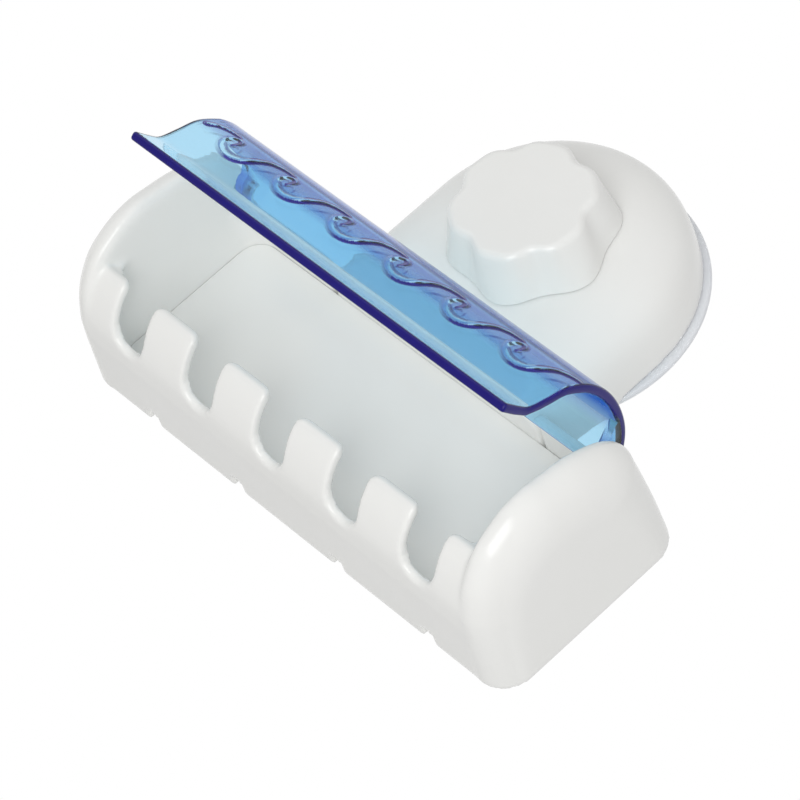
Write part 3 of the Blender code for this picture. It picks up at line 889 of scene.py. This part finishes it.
# One scroll of the running wave: x from its middle, distance round the lid's
# section from its rear end. It repeats along the lid. Shares count along the
# ribbon from the curl's middle to the end of the tail.
scroll = {
    "path": ((-0.9, 44.9), (-0.7, 43.1), (-1.4, 41.5), (-2.7, 41.0), (-3.9, 42.1),
             (-4.3, 44.1), (-3.5, 46.3), (-1.6, 47.8), (1.0, 48.4), (3.7, 47.9),
             (6.0, 46.3), (7.7, 43.9), (9.3, 41.6), (11.4, 40.3), (13.8, 39.9),
             (15.6, 40.0)),
    "pathSteps": 5,
    "pitch": 19.8,
    "first": -50.0,
    "count": 6,
    "tailFrom": 8.0,         # left of the first scroll, only a tail from here on
    "halfWidth": 1.35,
    "height": 0.30,
    "curlTaper": (0.40, 2.0),    # share of the full width at the ribbon's start, its growth
    "tailTaper": (0.45, 3.5),    # and at its end
    "foot": 0.20,            # half width of the painted shade line along a ribbon's foot
    "footFade": 1.5,         # that line's outer end, in half widths
    "slope": 0.55,           # how far it climbs a tail's side towards the lip
    "footShade": 0.85,
    "faint": 0.12,
    "curlEnd": 0.12,         # towards the lip: the line's shade up to this share,
    "curlShade": 0.4,
    "lipShadeFrom": 0.40,    # and how it grows from this share on
    "lipShadeRise": 3.0,
    # on the other side: up to each share, the shade
    "farShades": ((0.15, 0.7), (0.42, 0.12), (0.6, 0.4), (0.7, 0.12), (1.0, 0.7)),
    "reach": 3.0,            # a piece of ribbon farther off than this changes nothing
}


def lidSection():
    # the outer line of the section, even steps along it, finer at the relief
    points = [(lid["rear"] + a * lid["reach"], lid["crown"] - b * lid["drop"])
              for a, b in lidPoints]
    line = smoothLine(points, lid["lineSteps"])
    places = [0.0]
    for first, second in zip(line, line[1:]):
        places.append(places[-1] + hypot(second[0] - first[0], second[1] - first[1]))
    stops, here = [], 0.0
    while here < places[-1] - lid["coarseStep"] / 2:
        stops.append(here)
        fine = lid["fineFrom"] <= here <= lid["fineTo"]
        here += lid["fineStep"] if fine else lid["coarseStep"]
    stops.append(places[-1])
    section, index = [], 0
    for stop in stops:
        while index < len(places) - 2 and places[index + 1] < stop:
            index += 1
        share = (stop - places[index]) / (places[index + 1] - places[index])
        section.append(tuple(Vector(line[index]).lerp(Vector(line[index + 1]), min(share, 1.0))))
    return section, stops


def scrollSegments():
    # the ribbons as short straight pieces: start, end, share of the full width, how dark the
    # painted shade at the foot is on the side towards the lip and on the other
    segments = []
    path = smoothLine(scroll["path"], scroll["pathSteps"])
    curl, curlRise = scroll["curlTaper"]
    tail, tailRise = scroll["tailTaper"]
    for repeat in range(-1, scroll["count"]):
        middle = scroll["first"] + repeat * scroll["pitch"]
        for index, (first, second) in enumerate(zip(path, path[1:])):
            if repeat < 0 and first[0] < scroll["tailFrom"]:
                continue
            share = index / (len(path) - 1)
            taper = min(1.0, curl + curlRise * share, tail + tailRise * (1 - share))
            near = scroll["lipShadeRise"] * (share - scroll["lipShadeFrom"])
            near = min(1.0, max(scroll["faint"], near))
            if share < scroll["curlEnd"]:
                near = scroll["curlShade"]
            far = next(shade for until, shade in scroll["farShades"] if share < until)
            segments.append(((middle + first[0], first[1]), (middle + second[0], second[1]),
                             taper, near, far))
    return segments


def reliefAt(x, place, segments):
    # height of the relief at a point of the lid, and how dark the painted shade at its foot is
    # there
    height, dark, inside = 0.0, 0.0, False
    foot, slope, fade = scroll["foot"], scroll["slope"], scroll["footFade"]
    for (ax, ay), (bx, by), taper, near, far in segments:
        if abs(x - ax) > scroll["reach"] or abs(place - ay) > scroll["reach"]:
            continue
        dx, dy = bx - ax, by - ay
        along = max(0.0, min(1.0, ((x - ax) * dx + (place - ay) * dy) / (dx * dx + dy * dy)))
        away = hypot(x - ax - along * dx, place - ay - along * dy)
        half = scroll["halfWidth"] * taper
        inside = inside or away < half - foot - slope
        if away < half:
            height = max(height, scroll["height"] * taper * (0.5 + 0.5 * cos(pi * away / half)))
        towardsLip = (x - ax) * dy - (place - ay) * dx < 0
        climb = slope * near ** 2 if towardsLip else 0.0
        gap = max(away - half, half - climb - away) / foot
        if gap < fade:
            line = near if towardsLip else far
            dark = max(dark, line * scroll["footShade"] * min(1.0, fade - gap))
    return height, 0.0 if inside else dark


def lidSheet(outer):
    # the bent sheet with rounded edges, cut into even columns along the lid
    half, skip = lid["half"], lid["innerSkip"]
    inner = leftOf(outer, [-lid["wall"]] * len(outer))
    fewer = inner[::skip]
    if fewer[-1] != inner[-1]:
        fewer.append(inner[-1])
    outline = outer + fewer[::-1]
    work = bmesh.new()
    ends = []
    for x in (-half, half):
        corners = [work.verts.new(alongX(*point, x)) for point in outline]
        ends.append([work.edges.new((corners[index - 1], corners[index]))
                     for index in range(len(corners))])
        work.faces.new(corners)
    bmesh.ops.bridge_loops(work, edges=ends[0] + ends[1])
    bmesh.ops.recalc_face_normals(work, faces=work.faces)
    tips = [alongX(*point, 0.0)[1:] for point in (outer[0], outer[-1], fewer[0], fewer[-1])]

    def isCorner(item):
        first, second = (vert.co for vert in item.verts)
        if abs(first.x - second.x) < weld:
            return True
        return any(hypot(first.y - y, first.z - z) < 2 * weld for y, z in tips)

    bmesh.ops.bevel(work, geom=[item for item in work.edges if isCorner(item)],
                    offset=lid["edge"], segments=lid["edgeSteps"], profile=0.5, material=-1,
                    affect="EDGES", clamp_overlap=False)
    longWays = [item for item in work.edges if item.calc_length() > half]
    bmesh.ops.subdivide_edges(work, edges=longWays, cuts=lid["columns"] - 1, use_grid_fill=True)
    return work


def raiseRelief(work, shadeLayer, outer, stops):
    # the relief stands on the outer side, with painted shade at its feet
    segments = scrollSegments()
    rows = {}
    for point, other, stop in zip(outer, leftOf(outer, [1.0] * len(outer)), stops):
        key = (round(-point[0], 3), round(point[1], 3))
        rows[key] = (stop, point[0] - other[0], other[1] - point[1])
    raised = 0
    for vert in work.verts:
        row = rows.get((round(vert.co.y, 3), round(vert.co.z, 3)))
        if not row or abs(vert.co.x) > lid["half"] - lid["reliefEnd"]:
            continue
        stop, y, z = row
        if not lid["reliefFrom"] < stop < lid["reliefTo"]:
            continue
        height, dark = reliefAt(vert.co.x, stop, segments)
        vert[shadeLayer] = max(vert[shadeLayer], dark)
        if height:
            vert.co.y += y * height
            vert.co.z += z * height
            raised += 1
    print("lid relief on", raised, "points")


def shadeEdges(work, shadeLayer, outer):
    # painted shade at the ends and the lip's edge, for the long way through the dye that a look
    # along the sheet takes
    tip, edge = Vector(outer[-1]), lid["edge"]
    outwards = (tip - Vector(outer[-2])).normalized()
    for vert in work.verts:
        beyond = max(abs(vert.co.x) - lid["half"],
                     (Vector((-vert.co.y, vert.co.z)) - tip).dot(outwards))
        share = (beyond + lid["shadeStart"] * edge) / (lid["shadeRun"] * edge)
        vert[shadeLayer] = max(vert[shadeLayer], min(1.0, share))


def lidEars(outer, centre):
    # the webs under the crown, round the pivots, with the painted shade of a deep look all over
    outline = [point for point in leftOf(outer, [-lid["wall"] / 2] * len(outer))
               if point[0] <= centre[0] + lid["earReach"]]
    outline.append((centre[0] + lid["toeReach"], centre[1] - lid["toeDrop"]))
    outline += arc(centre, lid["boss"], radians(lid["bossStart"]), -pi, lid["bossSteps"])
    ear = prism(outline, lid["half"] - lid["earThickness"], lid["half"] - faceStep, alongX)
    # painted shade over the whole ear
    tint = ear.attributes.new("paintedDepthShade", "FLOAT", "POINT")
    tint.data.foreach_set("value", [lid["earShade"]] * len(ear.vertices))
    return mirrored(ear)


def makeLid():
    outer, stops = lidSection()
    work = lidSheet(outer)
    shadeLayer = work.verts.layers.float.new("paintedEdgeAndFootShade")
    raiseRelief(work, shadeLayer, outer, stops)
    shadeEdges(work, shadeLayer, outer)
    mesh = asMesh(work, "lid")
    centre = (tray["pivotDepth"], tray["pivotHeight"])
    mesh = joined(mesh, lidEars(outer, centre))
    pin = arc(centre, lid["pin"], 0, 2 * pi, lid["pinSteps"])[:-1]
    mesh = joined(mesh, mirrored(prism(pin, lid["half"] - lid["pinRoot"],
                                       lid["half"] + lid["pinLength"], alongX)))
    finishPiece("lidMoulding", mesh, bluePolystyrene, "lid", "lid",
                lid["sharp"])


# Inner pieces keep their CAD shapes

def finishNode(name, material):
    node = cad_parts[name]
    node.data.materials.clear()
    node.data.materials.append(material)


makeTray()
makeHousing()
makeKnob()
makePad()
makeLid()
finishNode("knob_nut", patterned("turnedYellowBrass", brassLook))
finishNode("threaded_stud", patterned("zincPlatedSteel", steelLook))
finishNode("thrust_washer", patterned("mouldedNaturalNylon", nylonLook))
print("pieces made")


# Camera, floor and light, in metres

camera = {
    "place": (0.556546, -0.766139, -0.324183),
    "right": (0.65807, 0.22203, 0.71947),
    "up": (-0.49357, -0.59440, 0.63488),
    "lens": 186.02,
    "clipFrom": 0.05,
    "clipTo": 50.0,
}


def makeCamera():
    data = bpy.data.cameras.new("photoCamera")
    data.lens = camera["lens"]
    data.clip_start = camera["clipFrom"]
    data.clip_end = camera["clipTo"]
    item = bpy.data.objects.new("photoCamera", data)
    right = Vector(camera["right"]).normalized()
    up = Vector(camera["up"])
    up = (up - right * right.dot(up)).normalized()
    turn = Matrix((right, up, right.cross(up))).transposed().to_4x4()
    item.matrix_world = Matrix.Translation(camera["place"]) @ turn
    bpy.context.scene.collection.objects.link(item)
    bpy.context.scene.camera = item


studio = {
    "floorHeight": -1.10,
    "floorHalf": 4.0,
    "ambient": 0.60,
    "ambientColour": "#FFFFFF",
    "keyPlace": (0.72, -1.10, -0.80),
    "keyAim": (0.0, -0.03, -0.05),
    "keySize": 0.9,
    "keyPower": 10.0,        # watts
}


def makeFloor():
    work = bmesh.new()
    bmesh.ops.create_grid(work, x_segments=1, y_segments=1, size=studio["floorHalf"])
    mesh = asMesh(work, "studioFloor")
    mesh.transform(Matrix.Translation((0, 0, studio["floorHeight"])))
    mesh.materials.append(patterned("matPaper", paperLook))
    floor = bpy.data.objects.new("studioFloor", mesh)
    bpy.context.scene.collection.objects.link(floor)


def makeWorld():
    # plain white where it is seen, mirrored or seen through, and a soft light elsewhere
    world = bpy.data.worlds.new("studio")
    bpy.context.scene.world = world
    world.use_nodes = True
    background = world.node_tree.nodes["Background"]
    background.inputs["Color"].default_value = colour(studio["ambientColour"])
    path = addNode(world, "ShaderNodeLightPath")
    seen = addNode(world, "ShaderNodeMath", {"operation": "MAXIMUM"},
                   {0: path.outputs["Is Camera Ray"], 1: path.outputs["Is Glossy Ray"]})
    shown = addNode(world, "ShaderNodeMath", {"operation": "MAXIMUM"},
                    {0: seen.outputs["Value"], 1: path.outputs["Is Transmission Ray"]})
    strength = addNode(world, "ShaderNodeMapRange",
                       {"To Min": studio["ambient"], "To Max": 1.0},
                       {"Value": shown.outputs["Value"]})
    world.node_tree.links.new(strength.outputs["Result"], background.inputs["Strength"])


def makeKey():
    data = bpy.data.lights.new("keyLamp", "AREA")
    data.shape = "SQUARE"
    data.size = studio["keySize"]
    data.energy = studio["keyPower"]
    lamp = bpy.data.objects.new("keyLamp", data)
    lamp.visible_camera = False
    towards = Vector(studio["keyAim"]) - Vector(studio["keyPlace"])
    turn = towards.to_track_quat("-Z", "Y").to_matrix().to_4x4()
    lamp.matrix_world = Matrix.Translation(studio["keyPlace"]) @ turn
    bpy.context.scene.collection.objects.link(lamp)


makeCamera()
makeFloor()
makeWorld()
makeKey()
bpy.context.scene.view_settings.view_transform = "Standard"
print("camera, floor and light made")
